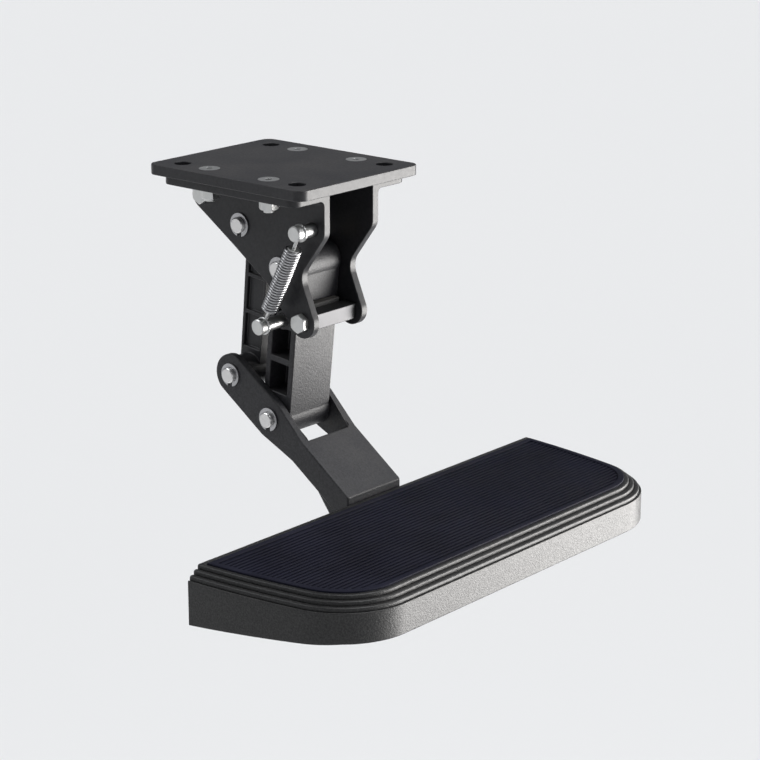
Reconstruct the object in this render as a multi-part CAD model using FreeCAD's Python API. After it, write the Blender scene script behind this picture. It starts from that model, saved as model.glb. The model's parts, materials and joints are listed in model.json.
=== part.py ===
"""Retractable tailgate step: a cast deck carried by a parallel linkage that hangs from a vehicle frame bracket.

Millimetres. X runs along the length of the step, -Y is the edge a foot reaches first, +Z is up.
The origin is the middle of the bracket's mounting face. The shape is the deployed position.
"""

import FreeCAD, Part
import math
import os

V = FreeCAD.Vector
X_AXIS = V(1, 0, 0)

# ---------------------------------------------------------------- deck
DECK_DEPTH = 140.0          # front face to back face
DECK_BACK_LENGTH = 396.0    # along X at the back face
DECK_FACE_H = 22.6          # front face, bottom edge to the first ledge
DECK_END_RADIUS = 660.0     # bowed ends
DECK_END_HEADING = 3.1      # degrees, how far each end leans out where it meets the back face
DECK_CORNER_RADIUS = 57.0   # front corners
DECK_WALL = 7.0             # skirt
DECK_TOP_T = 5.0            # top plate under the mat
DECK_BACK_DROP = 10.8       # the skirt is this much deeper at the back
DECK_LEVEL_FRONT = 20.0     # the skirt is level for this far behind the front face
RIM_LEDGE = 1.0             # flat ledge outside the first ridge
RIDGE_COUNT = 3
RIDGE_PITCH = 4.0
RIDGE_RISE = 3.1
RIDGE_ROUND = 1.6
GROOVE_W = 0.9
GROOVE_D = 0.9
RIB_T = 4.0
RIB_CELL = 35.0             # greatest clear width between ribs
RIB_SHORT = 3.0             # ribs stop this far above the skirt's lower edge

# ---------------------------------------------------------------- mat
MAT_GAP = 0.4
MAT_BASE_T = 2.6
MAT_BEAD_W = 5.0
MAT_BEAD_H = 1.4            # above the base
MAT_RIB_W = 2.2
MAT_RIB_PITCH = 4.0
MAT_RIB_H = 1.0
MAT_BACK_MARGIN = 5.0       # deck left bare along the back edge

# ---------------------------------------------------------------- linkage
LINK_LENGTH = 120.0         # pivot to pivot, both links
LINK_LEAN = 6.0             # degrees forward of hanging straight down, deployed
LINK_SWING = 76.0           # degrees from deployed to stowed
PIVOT_SPACING = 48.0        # between the two links, along the slope of the carrier
CARRIER_SLOPE = 35.0        # degrees
FORK_GAP = 47.0             # clear width between cheeks, and between carrier lugs
CHEEK_T = 6.5               # cheeks and lugs
PIN_R = 6.0
PIN_HEAD_R = 9.0
PIN_HEAD_T = 3.5
PIN_TAIL = 4.5              # beyond the far face, carries the clip
END_CHAMFER = 0.8
CLIP_T = 1.2
CLIP_BITE = 1.1             # depth of the clip groove
BUSH_WALL = 2.0
BUSH_LENGTH = 18.0
BUSH_FLANGE_T = 1.0
BUSH_FLANGE_R = 11.0
RUN_CLEAR = 0.03            # pin in bush, radial
SIDE_CLEAR = 0.1            # bush flange to cheek
FIT_CLEAR = 0.02            # pressed or threaded parts, radial
BOLT_CLEAR = 0.25           # plain bolt holes, radial

MAIN_HALF = 14.0            # half depth of the main arm's beam
MAIN_BOSS_R = 15.0
MAIN_FLANGE_T = 5.0
MAIN_WEB_T = 8.0
MAIN_RIBS = 2
IDLER_HALF = 11.0
IDLER_BOSS_R = 13.0
IDLER_BEAM_W = 18.0
IDLER_POCKET_D = 3.0

# ---------------------------------------------------------------- carrier arm
CARRIER_W = FORK_GAP + 2 * CHEEK_T
CARRIER_HALF_T = 10.0       # half thickness of the sloping part
CARRIER_LUG_R = 16.0
CARRIER_RUN = 98.0          # along the slope, deck's back face to the main lower pivot
CARRIER_SLOT = 34.0         # the fork is open this far short of that pivot
CARRIER_RISE = 26.5         # slope line above the deck's lower edge at the back face
FOOT_L = 92.0
FOOT_T = 10.0
FOOT_RIB_T = 5.0            # three ribs under the foot, one in the middle and one at each edge
FOOT_INSET = 1.0            # foot narrower than the carrier, each side
SHOULDER_GAP = 0.5          # carrier shoulder to the deck's back face
SHOULDER_H = 38.0

# ---------------------------------------------------------------- bracket
PLATE_T = 8.0
PLATE_W = 132.0
PLATE_L = 156.0
PLATE_CORNER = 8.0
IDLER_DROP = 44.0           # idler upper pivot below the mounting face
IDLER_AHEAD = 17.0          # and in front of its middle
FLANGE_W = 32.0
BEND_R = 4.0
BOLT_X = 96.0               # frame bolts, spacing along X and Y
BOLT_Y = 116.0
FRAME_HOLE_R = 6.5
CHEEK_BOSS_R = 18.0
CHEEK_END_R = 12.0
CHEEK_INNER_R = 15.0        # inside corners of the cheek's outline
STOP_BAR = 12.0
STOP_PAD_T = 6.0
STOP_PAD_GAP = 0.2
STOP_PAD_L = 18.0
STOP_AT = 35.0              # along the link from its upper pivot
PAD_SIDE = 5.5              # pad narrower than the space it sits in, each side

# ---------------------------------------------------------------- spring
SPRING_ARM_R = 42.0         # arm post from the main upper pivot
SPRING_FRAME_R = 48.0       # bracket post from the main upper pivot
SPRING_X = -43.0
COIL_R = 5.5                # mean radius
WIRE_R = 1.0
COIL_PITCH = 2.3
COIL_TURNS = 24
POST_R = 5.0
POST_NECK_R = 4.0
POST_NECK_W = 3.4
POST_HEAD_R = 6.0
POST_TIP = 7.0              # beyond the middle of the spring
POST_SEAT = 10.0
EYE_WIRE_R = 1.3
EYE_CLEAR = 0.3
EYE_PLUG_L = 6.0

# ---------------------------------------------------------------- fasteners
M8_R = 4.0
M8_CSK_R = 8.0
M8_CSK_H = 4.0
M8_NUT_AF = 13.0
M8_NUT_H = 8.0
M8_FLANGE_R = 8.5
M8_FLANGE_T = 1.5
M8_THREAD_END = 2.0         # screw end beyond its nut
M8_HEAD_H = 5.5
M8_SOCKET_AF = 5.0          # hexagon socket in a countersunk head
M8_SOCKET_H = 3.2
HEX_CROWN = 0.95            # flat of a hexagon head or nut, as a share of its width across flats
STOP_SCREW_SEAT = 14.0
FOOT_SCREW_BACK = 22.0
FOOT_SCREW_PITCH = 52.0
PLATE_SCREW_Y = 30.0
NIPPLE_R = 3.2
NIPPLE_L = 5.0
NIPPLE_BALL_R = 2.6

# ---------------------------------------------------------------- derived positions, (y, z)


def polar(point, degrees, distance):
    """A point moved by a distance at an angle above +Y."""
    a = math.radians(degrees)
    return (point[0] + distance * math.cos(a), point[1] + distance * math.sin(a))


HANG = -90.0 + LINK_LEAN                       # direction of both links, deployed
STOWED = HANG + LINK_SWING
IDLER_TOP = (IDLER_AHEAD, -IDLER_DROP)
MAIN_TOP = polar(IDLER_TOP, 180 + CARRIER_SLOPE, PIVOT_SPACING)
MAIN_LOW = polar(MAIN_TOP, HANG, LINK_LENGTH)
IDLER_LOW = polar(IDLER_TOP, HANG, LINK_LENGTH)
SLOPE_START = polar(MAIN_LOW, 180 + CARRIER_SLOPE, CARRIER_RUN)
DECK_BACK = SLOPE_START[0]
DECK_FRONT = DECK_BACK - DECK_DEPTH
DECK_Z = SLOPE_START[1] - CARRIER_RISE         # lower edge of the front face
DECK_LOW = DECK_Z - DECK_BACK_DROP
RIDGE_ZONE = RIM_LEDGE + RIDGE_COUNT * RIDGE_PITCH
RIM_TOP = DECK_Z + DECK_FACE_H + RIDGE_COUNT * RIDGE_RISE
MAT_FLOOR = RIM_TOP - MAT_BASE_T
PLATE_UNDER = MAT_FLOOR - DECK_TOP_T           # underside of the deck's top plate
FOOT_LOW = PLATE_UNDER - FOOT_T
FOOT_HALF_W = CARRIER_W / 2 - FOOT_INSET
FOOT_SCREW_X = (FOOT_HALF_W - FOOT_RIB_T / 2) / 2   # midway between the middle rib and an edge rib
HALF_GAP = FORK_GAP / 2
CHEEK_OUT = HALF_GAP + CHEEK_T
ARM_HALF_W = HALF_GAP - SIDE_CLEAR - BUSH_FLANGE_T
BUSH_R = PIN_R + RUN_CLEAR + BUSH_WALL
MID_SWING = HANG + LINK_SWING / 2
SPRING_LOW = polar(MAIN_TOP, HANG, SPRING_ARM_R)
SPRING_TOP = polar(MAIN_TOP, MID_SWING + 180, SPRING_FRAME_R)
REST_STOP = polar(polar(MAIN_TOP, HANG, STOP_AT), HANG - 90,
                  MAIN_HALF + STOP_PAD_GAP + STOP_PAD_T + STOP_BAR / 2)
STOW_STOP = polar(polar(IDLER_TOP, STOWED, STOP_AT), STOWED + 90,
                  IDLER_HALF + STOP_PAD_GAP + STOP_PAD_T + STOP_BAR / 2)
FLANGE_LOW = -PLATE_T - CHEEK_T
CHEEK_BACK = SPRING_TOP[0] - CHEEK_END_R
CHEEK_FRONT = STOW_STOP[0] + CHEEK_END_R


# ---------------------------------------------------------------- helpers


def box(x0, x1, y0, y1, z0, z1):
    return Part.makeBox(x1 - x0, y1 - y0, z1 - z0, V(x0, y0, z0))


def rod(radius, x0, x1, centre):
    """Cylinder along X through a (y, z) centre."""
    return Part.makeCylinder(radius, x1 - x0, V(x0, centre[0], centre[1]), X_AXIS)


def post(radius, x, y, z0, z1):
    return Part.makeCylinder(radius, z1 - z0, V(x, y, z0))


def prism(points, x0, x1):
    """Closed (y, z) polygon extruded along X."""
    corners = [V(x0, y, z) for y, z in points]
    return Part.Face(Part.makePolygon(corners + corners[:1])).extrude(V(x1 - x0, 0, 0))


def fuse(shapes):
    return shapes[0].multiFuse(list(shapes[1:])).removeSplitter()


def taper(p, rp, q, rq, x0, x1):
    """Plate whose outline wraps two circles."""
    length = math.hypot(q[0] - p[0], q[1] - p[1])
    along = math.degrees(math.atan2(q[1] - p[1], q[0] - p[0]))
    side = math.degrees(math.acos((rp - rq) / length))
    quad = [polar(p, along + side, rp), polar(q, along + side, rq),
            polar(q, along - side, rq), polar(p, along - side, rp)]
    return fuse([prism(quad, x0, x1), rod(rp, x0, x1, p), rod(rq, x0, x1, q)])


def turned_box(centre, degrees, length, depth, x0, x1):
    """Block along X whose section is length x depth, turned about X."""
    half = [(-length / 2, -depth / 2), (length / 2, -depth / 2), (length / 2, depth / 2), (-length / 2, depth / 2)]
    return prism([polar(polar(centre, degrees, a), degrees + 90, b) for a, b in half], x0, x1)


def hexagon(across, height, base, direction):
    """Hexagonal bar standing on a base point."""
    r = across / math.sqrt(3)
    ring = [V(r * math.cos(math.radians(60 * i)), r * math.sin(math.radians(60 * i)), 0) for i in range(7)]
    solid = Part.Face(Part.makePolygon(ring)).extrude(V(0, 0, height))
    solid.Placement = FreeCAD.Placement(base, FreeCAD.Rotation(V(0, 0, 1), direction))
    return solid


def hex_head(across, height, base, direction):
    """Hexagon whose outer corners are turned off at 30 degrees, as on a screw head or nut."""
    flat_r, over_r = across * HEX_CROWN / 2, across
    fall = (over_r - flat_r) * math.tan(math.radians(30))
    crown = Part.makeCone(over_r, flat_r, fall, base + direction * (height - fall), direction)
    if height > fall:
        crown = crown.fuse(Part.makeCylinder(over_r, height - fall, base, direction))
    return hexagon(across, height, base, direction).common(crown)


def round_edges(shape, wanted, radius):
    return shape.makeFillet(radius, [e for e in shape.Edges if wanted(e)])


def chamfer_ends(shape, places, size):
    """Chamfer the round edges that lie at some x."""
    ends = [e for e in shape.Edges if e.BoundBox.XLength < 0.01
            and any(abs(e.BoundBox.XMin - x) < 0.01 for x in places)]
    return shape.makeChamfer(size, ends)


def hung(shape, pivot):
    """A link drawn hanging from the origin, put on its pivot at the deployed lean."""
    shape.rotate(V(0, 0, 0), X_AXIS, LINK_LEAN)
    shape.translate(V(0, pivot[0], pivot[1]))
    return shape


# ---------------------------------------------------------------- deck and mat


def deck_outline(inset, back):
    """Plan outline of the deck drawn in by an inset, closed by a straight edge at y = back."""
    heading = math.radians(DECK_END_HEADING)
    end_c = V(DECK_BACK_LENGTH / 2 - DECK_END_RADIUS * math.cos(heading),
              DECK_BACK + DECK_END_RADIUS * math.sin(heading), 0)
    end_r = DECK_END_RADIUS - inset
    corner_y = DECK_FRONT + DECK_CORNER_RADIUS
    reach = DECK_END_RADIUS - DECK_CORNER_RADIUS
    corner_c = V(end_c.x + math.sqrt(reach ** 2 - (end_c.y - corner_y) ** 2), corner_y, 0)
    corner_r = DECK_CORNER_RADIUS - inset
    join = corner_c + (corner_c - end_c) * (corner_r / reach)
    start = V(end_c.x + math.sqrt(end_r ** 2 - (end_c.y - back) ** 2), back, 0)
    halfway = math.atan2((start.y + join.y) / 2 - end_c.y, (start.x + join.x) / 2 - end_c.x)
    end_mid = end_c + V(math.cos(halfway), math.sin(halfway), 0) * end_r
    front = V(corner_c.x, DECK_FRONT + inset, 0)
    toward = (join - corner_c).normalize() + V(0, -1, 0)
    corner_mid = corner_c + toward.normalize() * corner_r

    def left(p):
        return V(-p.x, p.y, p.z)

    return Part.Face(Part.Wire([
        Part.Arc(start, end_mid, join).toShape(),
        Part.Arc(join, corner_mid, front).toShape(),
        Part.makeLine(front, left(front)),
        Part.Arc(left(front), left(corner_mid), left(join)).toShape(),
        Part.Arc(left(join), left(end_mid), left(start)).toShape(),
        Part.makeLine(left(start), start),
    ]))


def deck_slab(inset, back, z0, z1):
    face = deck_outline(inset, back)
    face.translate(V(0, 0, z0))
    return face.extrude(V(0, 0, z1 - z0))


def skirt_low(y):
    """Height of the skirt's lower edge, level at first and then dropping to the back face."""
    slope_start = DECK_FRONT + DECK_LEVEL_FRONT
    return DECK_Z - DECK_BACK_DROP * max(0, y - slope_start) / (DECK_BACK - slope_start)


def under_skirt(raise_by):
    """Everything below the skirt's lower edge, lifted by an amount."""
    low = DECK_LOW - DECK_BACK_DROP
    reach = DECK_BACK_LENGTH
    return prism([(DECK_FRONT - 1, low), (DECK_FRONT - 1, DECK_Z + raise_by),
                  (DECK_FRONT + DECK_LEVEL_FRONT, DECK_Z + raise_by), (DECK_BACK, DECK_LOW + raise_by),
                  (DECK_BACK + DECK_WALL, DECK_LOW + raise_by), (DECK_BACK + DECK_WALL, low)],
                 -reach, reach)


def deck_ridges():
    """Three rounded terraces that climb from the face to the rim of the mat."""
    ridges = []
    beyond = DECK_BACK + DECK_WALL
    trim = box(-DECK_BACK_LENGTH, DECK_BACK_LENGTH, DECK_FRONT, DECK_BACK, DECK_LOW, RIM_TOP)
    for i in range(RIDGE_COUNT):
        inset = RIM_LEDGE + GROOVE_W + i * RIDGE_PITCH
        top = DECK_Z + DECK_FACE_H + (i + 1) * RIDGE_RISE
        slab = deck_slab(inset, beyond, DECK_Z + DECK_FACE_H - RIDGE_RISE, top)

        def crest(edge):
            b = edge.BoundBox
            return b.ZMin > top - 0.01 and b.YMin < DECK_BACK
        ridges.append(round_edges(slab, crest, RIDGE_ROUND).common(trim))
    return ridges


def deck_grooves():
    cuts = []
    beyond = DECK_BACK + DECK_WALL
    for i in range(RIDGE_COUNT):
        outer = RIM_LEDGE + i * RIDGE_PITCH
        floor = DECK_Z + DECK_FACE_H + i * RIDGE_RISE - GROOVE_D
        ring = deck_slab(outer, beyond, floor, floor + RIDGE_RISE)
        cuts.append(ring.cut(deck_slab(outer + GROOVE_W, beyond + 1, floor - 1, floor + RIDGE_RISE + 1)))
    return cuts


def deck_ribs():
    """Cast ribs under the top plate, clear of the bay that holds the carrier's foot."""
    bay = CARRIER_W / 2 + SHOULDER_GAP
    far = DECK_BACK_LENGTH / 2
    count = math.ceil((far - DECK_WALL - bay) / (RIB_CELL + RIB_T))
    step = (far - DECK_WALL - bay) / count
    top = PLATE_UNDER + DECK_TOP_T / 2
    ribs = []
    for side in (-1, 1):
        for i in range(count):
            x = side * (bay + RIB_T / 2 + i * step)
            ribs.append(box(x - RIB_T / 2, x + RIB_T / 2, DECK_FRONT, DECK_BACK, DECK_LOW, top))
    clear = DECK_DEPTH - 2 * DECK_WALL
    rows = math.ceil(clear / (RIB_CELL + RIB_T))
    for i in range(1, rows):
        y = DECK_FRONT + DECK_WALL + i * clear / rows
        ribs.append(box(-far, far, y - RIB_T / 2, y + RIB_T / 2, DECK_LOW, top))
    foot_bay = box(-bay, bay, DECK_BACK - FOOT_L - RIB_T, DECK_BACK, DECK_LOW, PLATE_UNDER)
    front_wall = box(-bay, bay, DECK_BACK - FOOT_L - 2 * RIB_T, DECK_BACK - FOOT_L - RIB_T, DECK_LOW, top)
    inside = deck_slab(DECK_WALL / 2, DECK_BACK - DECK_WALL / 2, DECK_LOW, top)
    grid = fuse(ribs).cut(foot_bay).fuse(front_wall)
    return grid.common(inside).cut(under_skirt(RIB_SHORT))


def foot_screws_at():
    return [(sx * FOOT_SCREW_X, DECK_BACK - FOOT_SCREW_BACK - i * FOOT_SCREW_PITCH)
            for sx in (-1, 1) for i in (0, 1)]


def countersink(x, y, top):
    return Part.makeCone(M8_R, M8_CSK_R, M8_CSK_H, V(x, y, top - M8_CSK_H))


def step_deck():
    skirt = deck_slab(0, DECK_BACK, DECK_LOW, DECK_Z + DECK_FACE_H)
    body = fuse([skirt] + deck_ridges())
    for cut in deck_grooves():
        body = body.cut(cut)
    body = body.cut(under_skirt(0))
    body = body.cut(deck_slab(RIDGE_ZONE, DECK_BACK - MAT_BACK_MARGIN, MAT_FLOOR, RIM_TOP + 1))
    body = body.cut(deck_slab(DECK_WALL, DECK_BACK - DECK_WALL, DECK_LOW - 1, PLATE_UNDER))
    body = body.fuse(deck_ribs()).removeSplitter()
    notch = CARRIER_W / 2 + SHOULDER_GAP
    body = body.cut(box(-notch, notch, DECK_BACK - DECK_WALL - 1, DECK_BACK + 1, DECK_LOW - 1, PLATE_UNDER))
    for x, y in foot_screws_at():
        body = body.cut(post(M8_R + BOLT_CLEAR, x, y, PLATE_UNDER - 1, RIM_TOP))
        body = body.cut(countersink(x, y, MAT_FLOOR))
    return body


def tread_mat():
    """Rubber mat: flat base, raised bead all round, fine ribs along its length."""
    edge = RIDGE_ZONE + MAT_GAP
    back = DECK_BACK - MAT_BACK_MARGIN - MAT_GAP
    field_top = MAT_FLOOR + MAT_BASE_T
    bead = deck_slab(edge, back, MAT_FLOOR, field_top + MAT_BEAD_H)
    field = deck_slab(edge + MAT_BEAD_W, back - MAT_BEAD_W, field_top, field_top + MAT_BEAD_H + 1)
    front = DECK_FRONT + edge + MAT_BEAD_W + MAT_RIB_PITCH / 2
    rows = int((back - MAT_BEAD_W - front) / MAT_RIB_PITCH)
    strips = [box(-DECK_BACK_LENGTH, DECK_BACK_LENGTH, front + i * MAT_RIB_PITCH,
                  front + i * MAT_RIB_PITCH + MAT_RIB_W, field_top - MAT_BASE_T / 2, field_top + MAT_RIB_H)
              for i in range(rows)]
    inner = deck_slab(edge + MAT_BEAD_W / 2, back - MAT_BEAD_W / 2, MAT_FLOOR, field_top + MAT_BEAD_H)
    ribs = Part.makeCompound(strips).common(inner)
    return bead.cut(field).fuse(ribs).removeSplitter()


# ---------------------------------------------------------------- carrier


def on_slope(along, off):
    return polar(polar(SLOPE_START, CARRIER_SLOPE, along), CARRIER_SLOPE + 90, off)


def carrier_arm():
    """Casting: a foot inside the deck, a sloping neck and a fork with both lower pivots."""
    half = CARRIER_W / 2
    shoulder = DECK_BACK + SHOULDER_GAP
    slot_at = CARRIER_RUN - CARRIER_SLOT
    neck = prism([(shoulder, FOOT_LOW), (shoulder, DECK_Z + SHOULDER_H),
                  on_slope(slot_at, CARRIER_HALF_T), on_slope(slot_at, -CARRIER_HALF_T)], -half, half)
    foot_front = DECK_BACK - FOOT_L
    foot = box(-FOOT_HALF_W, FOOT_HALF_W, foot_front, shoulder + 1, FOOT_LOW, PLATE_UNDER)
    parts = [neck, foot]
    gusset_end = slot_at / 2
    rib = [(foot_front, FOOT_LOW), (foot_front, skirt_low(foot_front) + RIB_SHORT),
           (DECK_BACK, DECK_LOW + RIB_SHORT), on_slope(gusset_end, -CARRIER_HALF_T),
           on_slope(gusset_end, 0), (shoulder, PLATE_UNDER)]
    rib_reach = FOOT_HALF_W - FOOT_RIB_T / 2
    for x in (-rib_reach, 0, rib_reach):
        parts.append(prism(rib, x - FOOT_RIB_T / 2, x + FOOT_RIB_T / 2))
    for side in (-1, 1):
        lug = sorted((side * half, side * HALF_GAP))
        parts.append(taper(on_slope(slot_at, 0), CARRIER_HALF_T, MAIN_LOW, CARRIER_LUG_R, *lug))
        parts.append(taper(MAIN_LOW, CARRIER_LUG_R, IDLER_LOW, CARRIER_LUG_R, *lug))
    body = fuse(parts)
    for pivot in (MAIN_LOW, IDLER_LOW):
        body = body.cut(rod(PIN_R + FIT_CLEAR, -half - 1, half + 1, pivot))
    for x, y in foot_screws_at():
        body = body.cut(post(M8_R + BOLT_CLEAR, x, y, FOOT_LOW - 1, PLATE_UNDER + 1))
    return body


# ---------------------------------------------------------------- links


def bush_bore(z):
    return rod(BUSH_R + FIT_CLEAR, -HALF_GAP, HALF_GAP, (0, z))


def main_arm():
    """Cast I-beam between two pivot bosses, with a side boss for the spring post."""
    bosses = [rod(MAIN_BOSS_R, -ARM_HALF_W, ARM_HALF_W, (0, z)) for z in (0, -LINK_LENGTH)]
    body = fuse([box(-ARM_HALF_W, ARM_HALF_W, -MAIN_HALF, MAIN_HALF, -LINK_LENGTH, 0)] + bosses)
    top = -MAIN_BOSS_R - MAIN_FLANGE_T
    low = -LINK_LENGTH + MAIN_BOSS_R + MAIN_FLANGE_T
    cell = (top - low - MAIN_RIBS * MAIN_FLANGE_T) / (MAIN_RIBS + 1)
    inner = MAIN_HALF - MAIN_FLANGE_T
    for i in range(MAIN_RIBS + 1):
        z1 = top - i * (cell + MAIN_FLANGE_T)
        body = body.cut(box(MAIN_WEB_T / 2, ARM_HALF_W + 1, -inner, inner, z1 - cell, z1))
        body = body.cut(box(-ARM_HALF_W - 1, -MAIN_WEB_T / 2, -inner, inner, z1 - cell, z1))
    seat = (0, -SPRING_ARM_R)
    body = body.fuse(rod(POST_R + MAIN_FLANGE_T / 2, -ARM_HALF_W, 0, seat)).removeSplitter()
    body = body.cut(rod(POST_R + FIT_CLEAR, -ARM_HALF_W - 1, -ARM_HALF_W + POST_SEAT, seat))
    for z, up in ((0, 1), (-LINK_LENGTH, -1)):
        body = body.cut(bush_bore(z))
        end = z + up * MAIN_BOSS_R
        body = body.cut(post(NIPPLE_R - 1, 0, 0, min(z, end + up), max(z, end + up)))
    return hung(body, MAIN_TOP)


def idler_arm():
    """Forged flat bar with a full-width boss at each end."""
    bosses = [rod(IDLER_BOSS_R, -ARM_HALF_W, ARM_HALF_W, (0, z)) for z in (0, -LINK_LENGTH)]
    half = IDLER_BEAM_W / 2
    body = fuse([box(-half, half, -IDLER_HALF, IDLER_HALF, -LINK_LENGTH, 0)] + bosses)
    margin = IDLER_BOSS_R + IDLER_POCKET_D
    reach = (LINK_LENGTH - 2 * margin) / 3
    for side in (-1, 1):
        for i in range(3):
            x = sorted((side * half, side * (half - IDLER_POCKET_D)))
            z1 = -margin - i * reach - IDLER_POCKET_D / 2
            inner = IDLER_HALF - IDLER_POCKET_D
            body = body.cut(box(x[0], x[1], -inner, inner, z1 - reach + IDLER_POCKET_D, z1))
    for z, up in ((0, 1), (-LINK_LENGTH, -1)):
        body = body.cut(bush_bore(z))
        end = z + up * IDLER_BOSS_R
        body = body.cut(post(NIPPLE_R - 1, 0, 0, min(z, end + up), max(z, end + up)))
    return hung(body, IDLER_TOP)


def bushes(pivot):
    """Two flanged plain bushes, one from each side."""
    pair = []
    for side in (-1, 1):
        sleeve = sorted((side * ARM_HALF_W, side * (ARM_HALF_W - BUSH_LENGTH)))
        flange = sorted((side * ARM_HALF_W, side * (ARM_HALF_W + BUSH_FLANGE_T)))
        one = rod(BUSH_R, sleeve[0], sleeve[1], pivot).fuse(rod(BUSH_FLANGE_R, flange[0], flange[1], pivot))
        pair.append(one.removeSplitter().cut(rod(PIN_R + RUN_CLEAR, -CHEEK_OUT, CHEEK_OUT, pivot)))
    return Part.makeCompound(pair)


def pivot_pin(pivot):
    """Headed pin, head on the +X side, clip groove near its plain end."""
    body = rod(PIN_R, -CHEEK_OUT - PIN_TAIL, CHEEK_OUT, pivot)
    body = body.fuse(rod(PIN_HEAD_R, CHEEK_OUT, CHEEK_OUT + PIN_HEAD_T, pivot)).removeSplitter()
    groove = rod(PIN_R + 1, -CHEEK_OUT - CLIP_T - 2 * SIDE_CLEAR, -CHEEK_OUT, pivot)
    body = body.cut(groove.cut(rod(PIN_R - CLIP_BITE, -CHEEK_OUT - PIN_TAIL, 0, pivot)))
    return chamfer_ends(body, (-CHEEK_OUT - PIN_TAIL, CHEEK_OUT + PIN_HEAD_T), END_CHAMFER)


def pin_clips(pivots):
    rings = []
    for pivot in pivots:
        ring = rod(PIN_HEAD_R, -CHEEK_OUT - CLIP_T - SIDE_CLEAR, -CHEEK_OUT - SIDE_CLEAR, pivot)
        ring = ring.cut(rod(PIN_R - CLIP_BITE + FIT_CLEAR, -CHEEK_OUT - PIN_TAIL, 0, pivot))
        gap = box(-CHEEK_OUT - PIN_TAIL, 0, pivot[0] - PIN_HEAD_R / 4, pivot[0] + PIN_HEAD_R / 4,
                  pivot[1] - 2 * PIN_HEAD_R, pivot[1])
        rings.append(ring.cut(gap))
    return Part.makeCompound(rings)


def grease_nipples(pivot, boss_r):
    fittings = []
    for z, up in ((0, 1), (-LINK_LENGTH, -1)):
        base = V(0, 0, z + up * boss_r)
        axis = V(0, 0, up)
        stem = Part.makeCylinder(NIPPLE_R - 1 - FIT_CLEAR, NIPPLE_L + 2, base - axis * 2, axis)
        collar = hex_head(2 * NIPPLE_R, NIPPLE_L / 2, base, axis)
        ball = Part.makeSphere(NIPPLE_BALL_R, base + axis * NIPPLE_L)
        fittings.append(fuse([stem, collar, ball]))
    return hung(Part.makeCompound(fittings), pivot)


# ---------------------------------------------------------------- bracket


def bolt_points(spacing_y):
    return [(sx * BOLT_X / 2, sy * spacing_y / 2) for sx in (-1, 1) for sy in (-1, 1)]


def plate_holes(body):
    for x, y in bolt_points(BOLT_Y):
        body = body.cut(post(FRAME_HOLE_R, x, y, FLANGE_LOW - 1, 1))
    for x, y in bolt_points(2 * PLATE_SCREW_Y):
        body = body.cut(post(M8_R + BOLT_CLEAR, x, y, FLANGE_LOW - 1, 1))
    return body


def mount_plate():
    body = box(-PLATE_W / 2, PLATE_W / 2, -PLATE_L / 2, PLATE_L / 2, -PLATE_T, 0)
    body = round_edges(body, lambda e: e.BoundBox.ZLength > PLATE_T / 2, PLATE_CORNER)
    body = plate_holes(body)
    for x, y in bolt_points(2 * PLATE_SCREW_Y):
        body = body.cut(countersink(x, y, 0))
    return body


def cheek(side):
    """Pressed side plate with an outward top flange."""
    x = sorted((side * HALF_GAP, side * CHEEK_OUT))
    web = [taper(MAIN_TOP, CHEEK_BOSS_R, REST_STOP, CHEEK_END_R, *x),
           taper(MAIN_TOP, CHEEK_BOSS_R, IDLER_TOP, CHEEK_BOSS_R, *x),
           taper(SPRING_TOP, CHEEK_END_R, MAIN_TOP, CHEEK_BOSS_R, *x),
           taper(IDLER_TOP, CHEEK_BOSS_R, STOW_STOP, CHEEK_END_R, *x),
           prism([(CHEEK_BACK, -PLATE_T), (CHEEK_BACK, SPRING_TOP[1]), MAIN_TOP, IDLER_TOP,
                  (CHEEK_FRONT, STOW_STOP[1]), (CHEEK_FRONT, -PLATE_T)], *x)]
    out = sorted((side * CHEEK_OUT, side * (CHEEK_OUT + FLANGE_W)))
    flange = box(out[0], out[1], CHEEK_BACK, CHEEK_FRONT, FLANGE_LOW, -PLATE_T)
    body = fuse(web + [flange])

    def inside_corner(edge):
        b = edge.BoundBox
        if b.XLength < CHEEK_T - 0.1 or b.YLength > 0.01 or b.ZLength > 0.01:
            return False
        ring = [polar((b.YMin, b.ZMin), a, 0.3) for a in range(0, 360, 10)]
        return sum(body.isInside(V(b.Center.x, *p), 0.001, False) for p in ring) > 20

    def bend(edge):
        b = edge.BoundBox
        return (b.YLength > BEND_R and b.XLength < 0.01 and abs(abs(b.XMin) - CHEEK_OUT) < 0.01
                and b.ZLength < 0.01 and abs(b.ZMin - FLANGE_LOW) < 0.01)

    def corner(edge):
        b = edge.BoundBox
        return b.ZLength > CHEEK_T - 0.1 and b.XLength < 0.01 and abs(abs(b.XMin) - CHEEK_OUT - FLANGE_W) < 0.01
    body = round_edges(body, inside_corner, CHEEK_INNER_R)
    body = round_edges(body, bend, BEND_R)
    body = round_edges(body, corner, PLATE_CORNER)
    body = plate_holes(body)
    for pivot in (MAIN_TOP, IDLER_TOP):
        body = body.cut(rod(PIN_R + FIT_CLEAR, x[0] - 1, x[1] + 1, pivot))
    for stop in (REST_STOP, STOW_STOP):
        body = body.cut(rod(M8_R + BOLT_CLEAR, x[0] - 1, x[1] + 1, stop))
    if side < 0:
        body = body.cut(rod(POST_R + FIT_CLEAR, x[0] - 1, x[1] + 1, SPRING_TOP))
    return body


def stop_bar(centre, degrees):
    bar = turned_box(centre, degrees, STOP_BAR, STOP_BAR, -HALF_GAP, HALF_GAP)
    for side in (-1, 1):
        x = sorted((side * (HALF_GAP + 1), side * (HALF_GAP - STOP_SCREW_SEAT - 1)))
        bar = bar.cut(rod(M8_R + FIT_CLEAR, x[0], x[1], centre))
    return bar


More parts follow.
